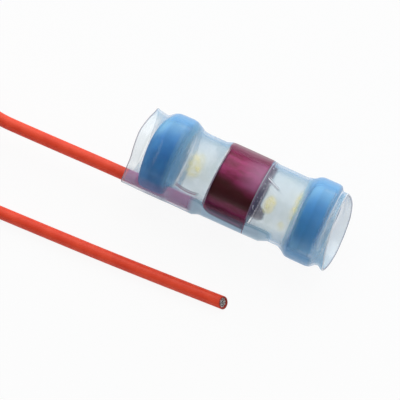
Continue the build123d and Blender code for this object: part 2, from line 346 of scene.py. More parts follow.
        # A patch's place along and around, its half length and half width, and its least strength
        patches = (
            (-3.70, -92, 0.75, 26, 0.4),
            (3.05, -84, 0.55, 16, 0.7),
            (5.02, -98, 0.35, 28, 0.2),
            (4.50, -60, 0.40, 10, 0.2),
        )
        flux = 0.0
        for along, around, half_length, half_width, strength in patches:
            away = ((self.x - along) / half_length) ** 2 + ((self.turn - around) / half_width) ** 2
            flux = flux + away.rise(1.3, 0.0) * (strength + 0.8 * speckle)
        self.cover += 0.15 * flux
        self.tint((1.3 * flux).clamp() * (1 - 0.6 * self.far_melt), (0.95, 0.88, 0.28, 1))

    def folds(self):
        """The light and the shade of the fold past the solder and of the pleats at the open mouth."""
        x, turn = self.x, self.turn
        past_fold = turn - fold_line(x)
        length = x.band(2.25, 3.1, 0.3)
        dark_lines = past_fold.band(1.2, 1.8, 0.7) + 0.6 * past_fold.band(-2.0, -1.4, 0.6)
        light_lines = past_fold.band(-0.5, 0.3, 0.5) + 0.6 * past_fold.band(-3.4, -2.9, 0.5)
        waves = ((x - 7.9) * 17 + 0.02 * turn).math("SINE")
        pleats = x.band(7.5, 7.9, 0.15) * turn.band(-170, -105, 20)
        light = 1.3 * light_lines * length + waves.rise(0.5, 0.9) * pleats
        shade = 0.9 * dark_lines * length + 0.5 * waves.rise(-0.5, -0.9) * pleats
        return light, shade

    def solder_rims(self):
        """The painted light and shade at the solder ring's ends, which lie a little askew, and a painted
        highlight line along it at the top of the strands' tent.
        """
        start, end = SOLDER_RING
        turn = self.turn
        askew = self.x + 0.047 * self.radius * (turn * (math.pi / 180)).math("COSINE")
        tent_crest_glint = (turn + 41).band(-1.5, 1.5, 2.5) * self.solder
        end_glint = askew.band(end - 0.02, end + 0.01, 0.03) * turn.band(-150, -80, 15)
        start_shade = askew.band(start - 0.02, start + 0.05, 0.04) * (1 - turn.band(-36, 36, 6))
        end_shade = askew.band(end + 0.08, end + 0.12, 0.03)
        return 0.7 * tent_crest_glint + 0.4 * end_glint, 1.5 * start_shade + 1.2 * end_shade

    def lines(self):
        """All thin lines of painted light and painted shade: the folds, the solder's rims, the lips, the
        tents' feet and the crease.
        """
        glint, dusk, crease_shade_red = (0.86, 0.91, 0.96, 1), (0.13, 0.06, 0.15, 1), (0.21, 0.0, 0.070, 1)
        past_crease = self.turn - crease_line(self.x)
        length = self.x.band(-4.45, -2.9, 0.45)
        # Painted lines: the crease is a dark red painted shade with a painted highlight beside it, and the
        # strands' tent foot a painted shadow line.
        crease = past_crease.band(-0.7, 0.3, 0.6) * length
        crease_glint = past_crease.band(2.0, 2.8, 0.7) * length
        foot = self.past_foot.band(-3.0, 1.2, 1.4) * self.x.band(-1.8, 1.3, 0.2)
        fold_light, fold_shade = self.folds()
        rim_light, rim_shade = self.solder_rims()
        lip_light, lip_shade = self.attribute("lip_light"), self.attribute("lip_shade")
        light = 0.8 * crease_glint + fold_light + rim_light + lip_light
        shade = 1.5 * foot + fold_shade + rim_shade + lip_shade
        self.tint(light.clamp(), glint)
        self.tint(shade.clamp(), dusk)
        self.tint(crease, crease_shade_red)
        self.cover += 0.40 * light + 0.35 * shade + 0.4 * foot + 1.3 * crease

    def filled_to_edge(self):
        """What the film holds fills it to its outline, as in a thick-walled glass."""
        ring_blue, lacquer_red = (0.16, 0.42, 0.74, 1), (0.20, 0.022, 0.080, 1)
        tented = (self.over_lead + self.over_strands).clamp()
        inside = self.on_ring * (1 - tented) * (1 - 0.7 * self.flank)
        content = self.mix(self.solder, ring_blue, lacquer_red)
        self.tint((self.slant.rise(0.12, 0.34) * inside).clamp(), content)
        held = self.slant.rise(0.36, 0.60) * inside
        self.cover = (self.cover + held * (0.9 - self.cover)).clamp()

    def surface(self):
        """The coloured film under a faint gloss, which fades on the rings and on their steps."""
        ripple = self.bump(self.noise(self.point, 1.6, 3.0, (0.5, 1.0, 1.0)), 0.5, 0.10)
        body = self.glossy_body(Base_Color=self.colour, Roughness=0.3, IOR=1.45, Normal=ripple)
        polish = {"Color": grey(1.0), "Roughness": 0.27, "Normal": ripple}
        gloss = self.node("ShaderNodeBsdfGlossy", None, polish, "BSDF")
        steps = self.melt + self.x.band(-2.7, -1.95, 0.2)
        sheen = (0.035 + 0.25 * self.slant**4) * (1 - 0.9 * self.on_ring) * (1 - 0.75 * steps)
        film = self.see_through(self.cover, body)
        return self.node("ShaderNodeMixShader", None, {0: sheen, 1: film, 2: gloss})


def film_material():
    """Clear, faintly blue film, stained and creased, over all that the sleeve holds."""
    look = FilmLook(bpy.data.materials.new("clear_film"))
    look.clear_film()
    look.melted_rings()
    look.tent_over_lead()
    look.tent_over_strands()
    look.spilled_lacquer()
    look.dried_flux()
    look.lines()
    look.filled_to_edge()
    return look.finish(look.surface())


def sealing_ring_material():
    """Blue thermoplastic, cloudy and translucent, thinner towards its ends, with a painted sheen where it is
    seen aslant and a painted shade beside the lead.
    """
    deep_blue, bright_blue = (0.050, 0.240, 0.590, 1), (0.085, 0.375, 0.760, 1)
    far_blue, sheen_blue = (0.13, 0.44, 0.74, 1), (0.31, 0.65, 0.92, 1)
    indigo = (0.100, 0.050, 0.240, 1)
    lead_start, lead_end = LEAD_RING
    far_start, far_end = FAR_RING
    shader = Shader(bpy.data.materials.new("blue_sealing_ring"))
    point, x, y, z = shader.place()
    turn = shader.around(y, z)[0]

    cloud = shader.noise(point, 0.5, 3.0).rise(0.3, 0.72)
    colour = shader.mix(cloud, deep_blue, bright_blue)
    colour = shader.mix(0.34 * x.rise(0, 1), colour, far_blue)
    # Painted sheen: the ring is painted lighter where it is seen aslant, held back at the lead ring's outer
    # end and on the lead ring from its top round towards the lead.
    flank = x.rise(lead_start + 0.55, lead_start + 0.1)
    core = x.band(lead_start + 0.05, lead_end - 0.35, 0.25) * turn.band(-98, -20, 22)
    edge_sheen = shader.facing().rise(0.04, 0.42) * (1 - 0.4 * flank) * (1 - 0.8 * core)
    colour = shader.mix(0.9 * edge_sheen, colour, sheen_blue)
    # Painted shade: indigo on the lead ring's side towards the lead.
    shade_beside_lead = turn.band(-25, 25, 22) * x.rise(0, -1)
    colour = shader.mix(0.30 * shade_beside_lead, colour, indigo)

    thick = x.rise(lead_start - 0.4, lead_start - 0.05) * x.rise(lead_end - 0.02, lead_end - 0.25)
    thick += x.band(far_start + 0.15, far_end - 0.85, 0.35)
    ends = x.rise(lead_start + 1.1, lead_start + 0.75) + x.band(far_start - 0.2, far_start + 0.8, 0.3)
    cover = 0.36 + 0.32 * thick + 0.20 * ends
    grain = shader.bump(shader.noise(point, 2.4, 2.0), 0.3, 0.04)
    body = shader.glossy_body(Base_Color=colour, Roughness=0.5, Specular_IOR_Level=0.15, Normal=grain)
    return shader.finish(shader.see_through(cover, body))


def solder_material():
    """Solder under a dark red lacquer, with painted light: a pink sheen on top, a dark reflection as a brown
    band along one side, and shade and glint at its ends.
    """
    dark_red, red, sheen_pink = (0.20, 0.004, 0.050, 1), (0.35, 0.016, 0.125, 1), (0.44, 0.17, 0.33, 1)
    brown, plum = (0.056, 0.0045, 0.0045, 1), (0.060, 0.036, 0.110, 1)
    shaded_end, glinting_end = (0.060, 0.012, 0.060, 1), (0.40, 0.16, 0.30, 1)
    inner_radius = SOLDER_RADIUS - SOLDER_WALL
    shader = Shader(bpy.data.materials.new("red_coated_solder"))
    point, x, y, z = shader.place()
    turn, radius = shader.around(y, z)
    brushed = shader.noise(point, 2.0, 3.0, (0.4, 1.0, 1.0))
    drift = 16 * (shader.noise(point, 0.8, 2.0) - 0.5)
    wear = shader.noise(point, 1.2, 2.0).rise(0.35, 0.75)

    # Painted sheen: the upper side, away from the lead, turns pink towards +X.
    painted_sheen = x.rise(-0.6, 1.5) * turn.band(-148, -98, 16)
    # A painted dark reflection: a brown band along the upper side towards the lead, where the coat is left
    # off.
    thick = (turn + 0.6 * drift - 5 * x).rise(-100, -80) * (turn + 0.4 * drift).rise(-46, -60)
    rim = shader.attribute("end_face")
    inside = radius.rise(inner_radius + 0.27, inner_radius + 0.15)
    colour = shader.mix(brushed.rise(0.3, 0.7), dark_red, red)
    colour = shader.mix(0.6 * painted_sheen, colour, sheen_pink)
    colour = shader.mix(0.95 * thick, colour, brown)
    # Painted shade and glint at the ends: darker at the end towards -X, pale pink at the end towards +X.
    colour = shader.mix(0.7 * rim, colour, shader.mix(x.rise(-0.5, 0.5), shaded_end, glinting_end))
    colour = shader.mix(inside, colour, plum)
    body = shader.glossy_body(
        Base_Color=colour,
        Metallic=0.15 * (1 - inside) * (1 - rim),
        Roughness=0.32 + 0.12 * wear + 0.2 * inside,
        Coat_Weight=0.1 * (1 - inside) * (1 - thick) * (1 - rim),
        Coat_Roughness=0.25,
        Specular_IOR_Level=0.2,
        Normal=shader.bump(brushed, 0.35, 0.05),
    )
    return shader.finish(body)


def insulation_material():
    """Satin orange-red insulation, which shows purple where the blue film is shrunk on to it."""
    deep_orange, orange = (0.84, 0.052, 0.016, 1), (0.93, 0.075, 0.026, 1)
    cut_end_shade, purple = (0.20, 0.012, 0.008, 1), (0.58, 0.170, 0.340, 1)
    shader = Shader(bpy.data.materials.new("orange_red_insulation"))
    point, x, y, _ = shader.place()
    mottle = shader.noise(point, 0.9, 3.0).rise(0.3, 0.7)
    speckle = shader.noise(point, 3.0, 2.0)
    in_film = x.rise(-MOUTH_X - 0.03, -MOUTH_X + 0.05) * y.rise(-4.5, -4.4)
    colour = shader.mix(mottle, deep_orange, orange)
    # Painted shade: the cut end and its bore are painted dark brown.
    colour = shader.mix(0.75 * shader.attribute("cut_face"), colour, cut_end_shade)
    colour = shader.mix(in_film, colour, purple)
    body = shader.glossy_body(
        Base_Color=colour,
        Roughness=0.40 + 0.1 * speckle,
        Specular_IOR_Level=0.35,
        Normal=shader.bump(speckle, 0.06, 0.01),
    )
    return shader.finish(body)


def strand_material():
    """Tinned copper strands, with bare copper showing here and there."""
    tin, copper, gap_shade = (0.60, 0.59, 0.59, 1), (0.60, 0.34, 0.22, 1), (0.05, 0.03, 0.03, 1)
    light_blue, plum = (0.62, 0.77, 0.90, 1), (0.10, 0.03, 0.09, 1)
    outward = (1.0, 0.06, 0.0)
    shader = Shader(bpy.data.materials.new("tinned_strands"))
    point, x, y, _ = shader.place()
    bare = shader.noise(point, 3.5, 2.0).rise(0.58, 0.70)
    facing_out = shader.dot(shader.node("ShaderNodeNewGeometry", output="True Normal"), outward)
    # Painted shade: at the free end the strands' sides, between them, are painted dark brown and less
    # metallic.
    between = facing_out.rise(0.75, 0.45) * y.rise(-7.5, -8.0)
    in_sleeve = x.rise(-3.4, -3.1) * y.rise(-6.0, -5.5)
    on_solder = x.band(-1.8, 1.8, 0.1)
    colour = shader.mix(bare, tin, copper)
    colour = shader.mix(0.85 * between, colour, gap_shade)
    colour = shader.mix(0.75 * in_sleeve, colour, shader.mix(on_solder, light_blue, plum))
    body = shader.glossy_body(
        Base_Color=colour,
        Metallic=0.9 - 0.75 * in_sleeve - 0.6 * between,
        Roughness=0.28 + 0.15 * shader.noise(point, 6.0, 2.0),
        Normal=shader.bump(shader.noise(point, 9.0, 2.0), 0.3, 0.01),
    )
    return shader.finish(body)


def tie_material():
    """White paper-like plastic of a twist tie."""
    greyer_white, white = (0.78, 0.78, 0.76, 1), (0.88, 0.88, 0.86, 1)
    shader = Shader(bpy.data.materials.new("white_tie"))
    grain = shader.noise(shader.place()[0], 4.0, 3.0)
    relief = shader.bump(grain, 0.35, 0.04)
    colour = shader.mix(grain, greyer_white, white)
    return shader.finish(shader.glossy_body(Base_Color=colour, Roughness=0.62, Normal=relief))


# Meshes
def add_object(name, data):
    made = bpy.data.objects.new(name, data)
    bpy.context.scene.collection.objects.link(made)
    return made


def add_piece(name, points, faces, material, smooth=True):
    """A mesh object of points in millimetres."""
    mesh = bpy.data.meshes.new(name)
    mesh.from_pydata((np.asarray(points) * MM).tolist(), [], faces)
    mesh.validate()
    mesh.polygons.foreach_set("use_smooth", [smooth] * len(mesh.polygons))
    mesh.materials.append(material)
    return add_object(name, mesh)


def add_layer(piece, name, values):
    """A number for each point of a piece, which its material reads."""
    layer = piece.data.attributes.new(name, "FLOAT", "POINT")
    layer.data.foreach_set("value", np.asarray(values, np.float32).ravel())


def read_points(mesh):
    """A mesh's points in millimetres."""
    places = np.empty(3 * len(mesh.vertices))
    mesh.vertices.foreach_get("co", places)
    return places.reshape(-1, 3) / MM


def write_points(mesh, places):
    mesh.vertices.foreach_set("co", (places * MM).ravel())
    mesh.update()


def grid_faces(rows, columns, closed_rows, flip=False):
    """Faces of a grid of points whose columns go round, and whose rows may."""
    faces = []
    for row in range(rows if closed_rows else rows - 1):
        below = (row + 1) % rows
        for column in range(columns):
            beside = (column + 1) % columns
            face = (
                row * columns + column,
                row * columns + beside,
                below * columns + beside,
                below * columns + column,
            )
            faces.append(face[::-1] if flip else face)
    return faces


def tube_faces(rings, sides):
    """Faces of a tube of rings with a cap at both ends."""
    last = (rings - 1) * sides
    caps = [tuple(range(sides))[::-1], tuple(range(last, last + sides))]
    return grid_faces(rings, sides, False) + caps


def around_axis(x, turn, radius):
    """Points at places along the sleeve, turns from the lead's side and distances from the axis."""
    x, turn, radius = np.broadcast_arrays(x, turn, radius)
    aside = np.cos(turn)[..., None] * np.array(TO_LEAD) + np.sin(turn)[..., None] * np.array(DOWNWARD)
    centre = np.stack([x, np.zeros_like(x), np.full_like(x, AXIS_HEIGHT)], -1)
    return centre + radius[..., None] * aside


def smooth_line(stations, width):
    """A function through the stations, with its corners rounded over a width."""
    step = 0.02
    xs, values = zip(*stations)
    grid = np.arange(xs[0] - width, xs[-1] + width + step, step)
    kernel = np.hanning(int(width / step) | 1)
    padded = np.interp(grid, xs, values)
    half = len(kernel) // 2
    rounded = np.convolve(np.pad(padded, half, mode="edge"), kernel / kernel.sum(), mode="valid")
    return lambda x: np.interp(x, grid, rounded)


def smooth_step(value, start, stop):
    share = np.clip((value - start) / (stop - start), 0, 1)
    return share * share * (3 - 2 * share)


def bell(value, middle, width):
    """1 at the middle, falling off over the width."""
    return np.exp(-(((value - middle) / width) ** 2))


def hill(turn, middle, width):
    """The same round the sleeve, for a turn in radians and the rest in degrees."""
    return bell((np.degrees(turn) - middle + 180) % 360 - 180, 0, width)


# The film's outer radius away from the lead
film_base = smooth_line(
    (
        (-8.95, 3.27), (-8.65, 3.16), (-8.12, 3.12), (-7.62, 3.55), (-7.30, 3.61), (-5.95, 3.62),
        (-5.60, 3.56), (-4.75, 3.09), (-4.1, 3.03), (-2.45, 3.02), (-2.0, 3.20), (-1.7, 3.23),
        (1.6, 3.22), (1.9, 3.18), (2.3, 3.10), (4.80, 3.09), (5.22, 3.30), (5.62, 3.58),
        (6.1, 3.62), (7.45, 3.62), (7.85, 3.54), (8.22, 3.20), (8.6, 3.17), (8.95, 3.22),
    ),
    0.30,
)
# The tent over the lead and its strands: a circle's distance from the axis, and its radius
tent_centre = smooth_line(((-8.95, 2.86), (-2.75, 2.86), (-2.20, 1.45), (3.12, 1.45), (4.20, 1.00)), 0.20)
tent_radius = smooth_line(((-8.95, 0.76), (-2.75, 0.76), (-2.20, 1.95), (3.12, 1.95), (4.20, 1.95)), 0.20)


def ring_shift(turn):
    """How far the ring at the lead's side lies further in on the side away from the lead."""
    return 0.26 * hill(turn, 180, 55)


def film_outline(x, turn):
    """The film's outer radius at x and at a turn from the lead's side."""
    steepest = 1.2
    by_lead_ring = smooth_step(-x, 4.0, 4.8) * smooth_step(x, -8.6, -7.9)
    wide = film_base(x - ring_shift(turn) * by_lead_ring)
    centre, narrow = tent_centre(x), tent_radius(x)
    beside = np.abs(turn)
    lean = np.arccos(np.clip((wide - narrow) / centre, -1, 1))
    meets = np.arctan2(narrow * np.sin(lean), centre + narrow * np.cos(lean))
    root = np.sqrt(np.maximum(narrow**2 - (centre * np.sin(beside)) ** 2, 0))
    over_lead = centre * np.cos(beside) + root
    slope = wide / np.cos(np.minimum(np.abs(lean - beside), steepest))
    return np.where(beside < meets, over_lead, np.where(beside < lean, slope, wide))


def film_swellings(x, turn):
    """Slow random swellings of the drawn-down film, weaker where a sealing ring holds it."""
    drift = np.random.default_rng(7)
    # A swelling's waves round the sleeve, its lean along the sleeve and its height
    swellings = ((2, 0.5, 0.022), (3, 0.9, 0.018), (5, 0.7, 0.012), (7, 1.6, 0.009), (11, 1.1, 0.007))
    waves = np.zeros_like(x)
    for around, along, height in swellings:
        first, second = drift.uniform(0, 2 * math.pi, 2)
        waves += height * np.sin(around * turn + first + 0.6 * np.sin(along * x + second))
    held = smooth_step(np.abs(x + 6.6), 1.9, 1.1) + smooth_step(np.abs(x - 6.7), 1.9, 1.1)
    return waves * (1 - 0.65 * held)


def film_wrinkles(x, turn):
    """Swellings, folds and ripples of the drawn-down film, as heights over its outline."""
    waves = film_swellings(x, turn)

    # Both rings' shoulders are rounder on the side away from the lead
    waves -= 0.17 * hill(turn, 180, 60) * (bell(x, -7.5, 0.4) + bell(x, 5.45, 0.35))

    # A crease beside the lead's tent, and a fold past the solder ring, by the distance from their lines
    gap_radius, fold_radius = 3.05, 3.15
    across = (turn - np.radians(crease_line(x))) * gap_radius
    along = smooth_step(x, -4.9, -4.3) * smooth_step(-x, 2.4, 2.9)
    waves += along * (0.02 * bell(across, 0.10, 0.10) - 0.015 * bell(across, 0, 0.09))
    across = (turn - np.radians(fold_line(x))) * fold_radius
    along = smooth_step(x, 1.95, 2.3) * smooth_step(-x, -3.5, -3.1)
    waves += 0.08 * along * (bell(across, -0.09, 0.08) - bell(across, 0.09, 0.09))

    # Ripples between the far ring and the mouth, away from the lead
    ripples = np.sin(14 * (x - 7.9) + turn) * smooth_step(x, 7.9, 8.1) * smooth_step(-x, -8.8, -8.5)
    waves += 0.045 * ripples * smooth_step(-np.cos(turn), -0.2, 0.7)

    # The open mouth's corner at the lead's side flares out
    waves += 0.20 * smooth_step(x, 8.45, MOUTH_X) * bell(turn, 0, 0.45)
    return waves


# How far each mouth's uneven cut moves along X, by the turn from the lead in degrees. The far one slants.
lead_mouth = smooth_line(
    (
        (-180, 0.09), (-150, 0.30), (-105, 0.04), (-62, 0.26), (-30, 0.06), (0, -0.20), (60, 0.05),
        (120, -0.05), (180, 0.09),
    ),
    24,
)
far_mouth = smooth_line(
    (
        (-180, -0.72), (-150, -0.78), (-120, -0.80), (-90, -0.70), (-60, -0.48), (-30, -0.20), (0, -0.08),
        (30, 0.18), (60, 0.30), (90, 0.28), (120, 0.15), (145, -0.12), (165, -0.45), (180, -0.72),
    ),
    24,
)


def mouth_shift(x, turn):
    """How far the uneven cut of each mouth moves the film along the sleeve."""
    left = lead_mouth(np.degrees(turn)) * smooth_step(-x, 8.0, MOUTH_X)
    return left + far_mouth(np.degrees(turn)) * smooth_step(x, 7.2, MOUTH_X)


def make_film(material):
    """The film as one closed wall: outside, lip, inside and lip."""
    columns, stations, half_wall = 160, 201, FILM_WALL / 2
    turn = np.linspace(-math.pi, math.pi, columns, endpoint=False)
    along = np.linspace(-MOUTH_X, MOUTH_X, stations)
    lip = np.linspace(0, math.pi, 7)[1:-1]
    # A row's place along the sleeve, its depth under the outside, and how far the lip bulges there
    rows = [(x, 0.0, 0.0) for x in along]
    rows += [(MOUTH_X, half_wall * (1 - math.cos(angle)), half_wall * math.sin(angle)) for angle in lip]
    rows += [(x, FILM_WALL, 0.0) for x in along[::-1]]
    rows += [(-MOUTH_X, half_wall * (1 + math.cos(angle)), -half_wall * math.sin(angle)) for angle in lip]
    x, depth, bulge = (np.array(part)[:, None] for part in zip(*rows))
    x, turn = np.broadcast_arrays(x, turn[None, :])
    radius = film_outline(x, turn) + film_wrinkles(x, turn) - depth
    places = around_axis(x + bulge + mouth_shift(x, turn), turn, radius)
    faces = grid_faces(len(rows), columns, True, flip=True)
    film = add_piece("shrink_film", places.reshape(-1, 3), faces, material)

    # The far lip is light on its outer side and shaded on its inner one, the near lip's top is shaded
    across_lip = depth / FILM_WALL
    near_tip = (bulge != 0) * (x < 0)
    far_tip = (bulge != 0) * (x > 0)
    add_layer(film, "lip_light", far_tip * smooth_step(-across_lip, -0.65, -0.35))
    far_shade = 0.8 * far_tip * smooth_step(across_lip, 0.35, 0.65)
    add_layer(film, "lip_shade", far_shade + near_tip * smooth_step(-turn, -0.1, 0.2))
    return film


def make_band(name, span, outer, inner, squareness, material, moulded=True):
    """A ring inside the film, from its outer and inner radius at each turn, with rounded edges.
    A moulded one is uneven and follows the film's mouths."""
    columns, around = 168, 44
    start, end = span
    turn = np.linspace(-math.pi, math.pi, columns, endpoint=False)[None, :]
    section = np.linspace(0, 2 * math.pi, around, endpoint=False)[:, None]

    def rounded(part):
        return np.sign(part) * np.abs(part) ** (2 / squareness)

    reach, height = rounded(np.cos(section)), rounded(np.sin(section))
    x = (start + end) / 2 + (end - start) / 2 * reach
    if moulded:
        x = x + 0.05 * np.sin(3 * turn + 1) * reach + 0.15 * hill(turn, 180, 60)
    widest, hole = outer(x, turn), inner(x, turn)
    radius = (widest + hole) / 2 + (widest - hole) / 2 * height
    if moulded:
        x = x + mouth_shift(x, turn)
    places = around_axis(x, turn, radius)
    return add_piece(name, places.reshape(-1, 3), grid_faces(around, columns, True), material)


def make_solder_band(material):
    """The solder ring, pressed away from the strands and a little askew in the film."""
    squareness, tilt = 9.0, 0.14 / 3.0

    def outer(x, turn):
        uneven = 0.010 * np.sin(5 * turn + x) + 0.006 * np.sin(9 * turn - 2 * x)
        return SOLDER_RADIUS - 0.15 * np.cos(turn) + uneven

    def inner(x, turn):
        return outer(x, turn) - SOLDER_WALL

    band = make_band("solder_band", SOLDER_RING, outer, inner, squareness, material, moulded=False)
    places = read_points(band.data)
    x = places[:, 0].copy()
    places[:, 0] -= tilt * ((places - (0, 0, AXIS_HEIGHT)) @ np.array(TO_LEAD))
    write_points(band.data, places)
    start, end = SOLDER_RING
    from_middle, half_length = np.abs(x - (start + end) / 2), (end - start) / 2
    add_layer(band, "end_face", smooth_step(from_middle, half_length - 0.09, half_length - 0.03))
    return band


def inside_film(x, turn, shift=0.0):
    """The outer radius of a ring that just fits into the film."""
    clearance = 0.02
    return film_base(x - shift) + film_wrinkles(x, turn) - FILM_WALL - clearance


def make_sealing_rings(material):
    """Both blue rings. The one on the lead's side is dented where the lead passes over it."""
    squareness, least_wall, middle_x, steepness = 3.2, 0.25, -6.6, 9.0

    def dented(x, turn):
        beside = np.abs(turn)
        groove = LEAD_RADIUS + 0.03
        root = np.sqrt(np.maximum(groove**2 - (LEAD_OFFSET * np.sin(beside)) ** 2, 0))
        under = LEAD_OFFSET * np.cos(beside) - root
        edge = math.asin(groove / LEAD_OFFSET)
        beyond = LEAD_OFFSET * math.cos(edge) + (beside - edge) * steepness
        return np.minimum(inside_film(x, turn, ring_shift(turn)), np.where(beside < edge, under, beyond))

    def dented_bore(x, turn):
        return np.minimum(RING_BORE, dented(np.full_like(x, middle_x), turn) - least_wall)

    def plain_bore(x, turn):
        return RING_BORE

    lead_side = make_band("sealing_ring_at_lead", LEAD_RING, dented, dented_bore, squareness, material)
    far_side = make_band("sealing_ring_at_mouth", FAR_RING, inside_film, plain_bore, squareness, material)
    return lead_side, far_side


# The lead's route: out of the sleeve, twice and a half round the coil, and back beside the sleeve
def coil_height(layer):
    return COIL_FLOOR + (layer + 0.5) * COIL_PITCH


def coil_points():
    """Points round the coil: half a turn on top, a whole one below it, and one on the floor."""
    points = []
    start_angle, turns = 90, 2.5
    first, last = math.radians(start_angle), math.radians(start_angle + 360 * turns)
    drop = math.radians(60)
    count = round(POINTS_A_TURN * turns)
    for number in range(1, count):
        turn = first + (last - first) * number / count
        layer = 2.0
        for drop_start in (math.radians(270), math.radians(630)):
            layer -= min(max((turn - drop_start) / drop, 0.0), 1.0)
        points.append((
            COIL_X + COIL_RADIUS * math.cos(turn),
            COIL_Y + COIL_RADIUS * math.sin(turn),
            coil_height(layer),
        ))
    return points


def lead_route():
    lead_y = TO_LEAD.y * LEAD_OFFSET
    lead_z = AXIS_HEIGHT + TO_LEAD.z * LEAD_OFFSET
    return [
        (INSULATION_END_X, lead_y, lead_z),
        (-9.9, lead_y, lead_z),
        (-17.0, -2.85, 2.66),
        (-22.6, -2.93, 2.74),
        (-26.6, COIL_Y + COIL_RADIUS, coil_height(2)),
        (COIL_X, COIL_Y + COIL_RADIUS, coil_height(2)),
        *coil_points(),
        (COIL_X, COIL_Y - COIL_RADIUS, coil_height(0)),
        (-26.5, COIL_Y - COIL_RADIUS, coil_height(0)),
        (-22.3, -9.84, 0.57),
        (-14.2, -9.53, LEAD_RADIUS),
        (-5.6, -9.17, LEAD_RADIUS),
        (2.65, -8.65, LEAD_RADIUS),
    ]


def route_line(points, resolution):
    """Points along the smooth curve of a route, read from its spline."""
    curve = bpy.data.curves.new("lead_route", "CURVE")
    curve.dimensions = "3D"
    curve.resolution_u = resolution
    spline = curve.splines.new("NURBS")
    spline.points.add(len(points) - 1)
    for place, point in zip(spline.points, points):
        place.co = (*(MM * number for number in point), 1.0)
    spline.order_u = 3
    spline.use_endpoint_u = True
    carrier = bpy.data.objects.new("lead_route", curve)
    mesh = bpy.data.meshes.new_from_object(carrier)
    line = np.array([vertex.co for vertex in mesh.vertices]) / MM
    bpy.data.meshes.remove(mesh)
    bpy.data.objects.remove(carrier)
    bpy.data.curves.remove(curve)
    return line


def level_and_rising(direction):
    """The two directions across the lead's cut end: a level one, and the one that rises."""
    level = np.cross((0, 0, 1.0), direction)
    level /= np.linalg.norm(level)
    return level, np.cross(direction, level)


def untwisted_pairs(ahead):
    """Two directions across the lead at each of its points, carried along it without a twist."""
    pairs = []
    side = np.cross(ahead[0], (0, 0, 1.0))
    for direction in ahead:
        side = side - direction * (side @ direction)
        side /= np.linalg.norm(side)
        pairs.append((side, np.cross(direction, side)))
    return pairs


def make_insulation(line, material):
    """The insulation round the lead's line, with an oblique cut and an open bore at its free end."""
    sides, pinhole = 28, 0.02
    angles = np.linspace(0, 2 * math.pi, sides, endpoint=False)
    ahead = np.gradient(line, axis=0)
    ahead /= np.linalg.norm(ahead, axis=1)[:, None]
    pairs = untwisted_pairs(ahead)

    def ring(centre, pair, radius):
        across, up = pair
        return centre + radius * (np.cos(angles)[:, None] * across + np.sin(angles)[:, None] * up)

    # The end in the sleeve, from its middle outwards: each ring's radius and how far in it lies
    first_end = (
        (pinhole, 0.10), (BORE_RADIUS, 0.10), (BORE_RADIUS + 0.02, 0.01), (LEAD_RADIUS - 0.04, 0.0),
        (LEAD_RADIUS, 0.03),
    )
    rings = [ring(line[0] + ahead[0] * inset, pairs[0], radius) for radius, inset in first_end]

    # The rings along the lead stop short of its oblique cut
    for centre, pair in zip(line[1:], pairs[1:]):
        if np.linalg.norm(centre - line[-1]) > 1.2 * LEAD_RADIUS:
            rings.append(ring(centre, pair, LEAD_RADIUS))

    # The free end: from the outside over the cut and down the bore to its bottom
    free_end = (
        (LEAD_RADIUS, 0.03), (LEAD_RADIUS - 0.035, 0.0), (BORE_RADIUS + 0.03, 0.0), (BORE_RADIUS, 0.03),
        (BORE_RADIUS, STRAND_LENGTH), (pinhole, STRAND_LENGTH),
    )
    end, direction = line[-1], ahead[-1]
    rising = level_and_rising(direction)[1]
    for radius, inset in free_end:
        circle = ring(end, pairs[-1], radius)
        oblique = inset < STRAND_LENGTH
        back = inset + oblique * math.tan(CUT_ANGLE) * ((circle - end) @ rising)
        rings.append(circle - np.outer(back, direction))
    lead = add_piece("lead", np.concatenate(rings), tube_faces(len(rings), sides), material)
    cut = np.zeros((len(rings), sides))
    cut[1 - len(free_end):] = 1
    add_layer(lead, "cut_face", cut)
    return lead


def strand_bundle_tree(material):
    """Geometry Nodes for a bundle of one, six and twelve strands, laid in a slow spiral along Z."""
    tree = bpy.data.node_groups.new("strand_bundle", "GeometryNodeTree")
    for name in ("Strand Radius", "Pitch", "Length", "Turns of Lay"):
        tree.interface.new_socket(name=name, in_out="INPUT", socket_type="NodeSocketFloat")
    tree.interface.new_socket(name="Geometry", in_out="OUTPUT", socket_type="NodeSocketGeometry")
    made = Nodes(tree)
    sizes = tree.nodes.new("NodeGroupInput")
    radius, pitch, length, lay = (Value(made, socket) for socket in list(sizes.outputs)[:4])
    profile = made.node("GeometryNodeCurvePrimitiveCircle", None, {"Resolution": 14, "Radius": radius})
    joined = tree.nodes.new("GeometryNodeJoinGeometry")
    for layer, count in enumerate((1, 6, 12)):
        values = {
            "Resolution": 64,
            "Rotations": lay,
            "Start Radius": layer * pitch,
            "End Radius": layer * pitch,
            "Height": length,
        }
        spiral = made.node("GeometryNodeCurveSpiral", None, values)
        values = {"Curve": spiral, "Profile Curve": profile, "Fill Caps": True}
        strand = made.node("GeometryNodeCurveToMesh", None, values)
        points = made.node("GeometryNodePoints", None, {"Count": count})
        index = made.node("GeometryNodeInputIndex")
        turn = made.node("ShaderNodeCombineXYZ", None, {"Z": index * (2 * math.pi / count)})
        values = {"Points": points, "Instance": strand, "Rotation": turn}
        placed = made.node("GeometryNodeInstanceOnPoints", None, values)
        tree.links.new(placed.socket, joined.inputs[0])
    realized = made.node("GeometryNodeRealizeInstances", None, {"Geometry": Value(made, joined.outputs[0])})
    finished = made.node("GeometryNodeSetMaterial", None, {"Geometry": realized, "Material": material})
    tree.links.new(finished.socket, tree.nodes.new("NodeGroupOutput").inputs[0])
    return tree


def grown(name, tree, **sizes):
    """The plain mesh that a Geometry Nodes tree makes from its named sizes."""
    carrier = add_object(name, bpy.data.meshes.new(name))
    modifier = carrier.modifiers.new(name, "NODES")
    modifier.node_group = tree
    for item in tree.interface.items_tree:
        if item.in_out == "INPUT":
            modifier[item.identifier] = sizes[item.name.replace(" ", "_")]
    evaluated = carrier.evaluated_get(bpy.context.evaluated_depsgraph_get())
    mesh = bpy.data.meshes.new_from_object(evaluated)
    bpy.data.objects.remove(carrier)
    return mesh


